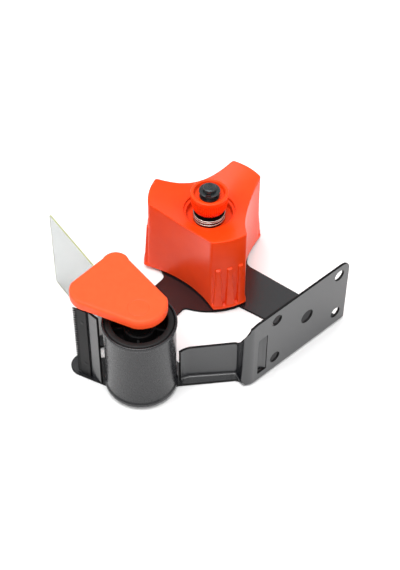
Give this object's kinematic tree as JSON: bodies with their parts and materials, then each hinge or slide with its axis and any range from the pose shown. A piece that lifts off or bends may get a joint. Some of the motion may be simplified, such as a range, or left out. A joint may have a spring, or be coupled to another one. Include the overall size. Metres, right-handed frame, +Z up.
{
  "type": "packing tape dispenser",
  "caption": "Hand-held packing-tape dispenser on a bent steel frame: lobed roll hub with spring brake, tape roller, toothed blade, edge guard and wiper flap, with no grip fitted.",
  "frame": {"origin": "hub axis at the underside of the side plate, the face it lies on", "axes": "+Z up along the hub axis, +X from the hub to the grip flange, +Y along the grip flange away from the blade"},
  "size_m": [0.1407, 0.1577, 0.0679],
  "materials": {
    "frame_steel": "satin black coated pressed steel",
    "blade_steel": "blackened spring steel",
    "zinc_steel": "zinc plated steel",
    "black_steel": "black oxide steel",
    "clear_sheet": "clear plastic sheet with a green-yellow tint at its edges",
    "hub_plastic": "glossy orange-red moulded ABS",
    "guard_plastic": "satin orange-red moulded ABS",
    "roller_plastic": "black moulded nylon",
    "roller_cover": "satin black roller cover",
    "bush_plastic": "natural acetal",
    "brass": "turned brass",
    "fibre": "red-brown vulcanised fibre"
  },
  "bodies": {
    "frame": {"side_plate": "frame_steel", "handle_flange": "frame_steel", "blade_wall": "frame_steel", "blade": "blade_steel", "blade_rivets": "black_steel", "wiper_bracket": "frame_steel", "wiper_root": "clear_sheet", "wiper_clamp": "black_steel", "wiper_rivets": "zinc_steel", "edge_guard": "guard_plastic", "roller_axle": "black_steel", "roller_washers": "black_steel", "hub_stud": "black_steel", "friction_washer": "fibre", "retaining_clip": "black_steel"},
    "wiper": {"wiper_flap": "clear_sheet"},
    "roller": {"roller_bushes": "bush_plastic", "roller_core": "roller_plastic", "roller_sleeve": "roller_cover"},
    "hub": {"roll_hub": "hub_plastic", "hub_bush": "brass", "spring_seat": "black_steel"},
    "brake": {"brake_spring": "zinc_steel", "pressure_washer": "black_steel"},
    "knob": {"brake_knob": "hub_plastic", "knob_insert": "black_steel"}
  },
  "joints": [
    {"name": "hub_spin", "type": "hinge", "parent": "frame", "child": "hub", "pos_m": [0, 0, 0.02], "axis": [0, 0, 1], "continuous": true},
    {"name": "roller_spin", "type": "hinge", "parent": "frame", "child": "roller", "pos_m": [0.042, -0.092, 0.02], "axis": [0, 0, 1], "continuous": true},
    {"name": "brake_travel", "type": "slide", "parent": "frame", "child": "brake", "axis": [0, 0, 1], "range_m": [-0.00125, 0.00093], "deforming": ["brake_spring"]},
    {"name": "knob_turn", "type": "hinge", "parent": "brake", "child": "knob", "pos_m": [0, 0, 0.058], "axis": [0, 0, 1], "range_deg": [-361, 271]},
    {"name": "wiper_flex", "type": "hinge", "parent": "frame", "child": "wiper", "pos_m": [-0.00285, -0.08684, 0.02], "axis": [0, 0, 1], "range_deg": [-25, 25], "stiffness_Nm_per_rad": 0.03}
  ],
  "couplings": [
    {"joint": "knob_turn", "follows": "brake_travel", "rad_per_m": 5026.5}
  ]
}
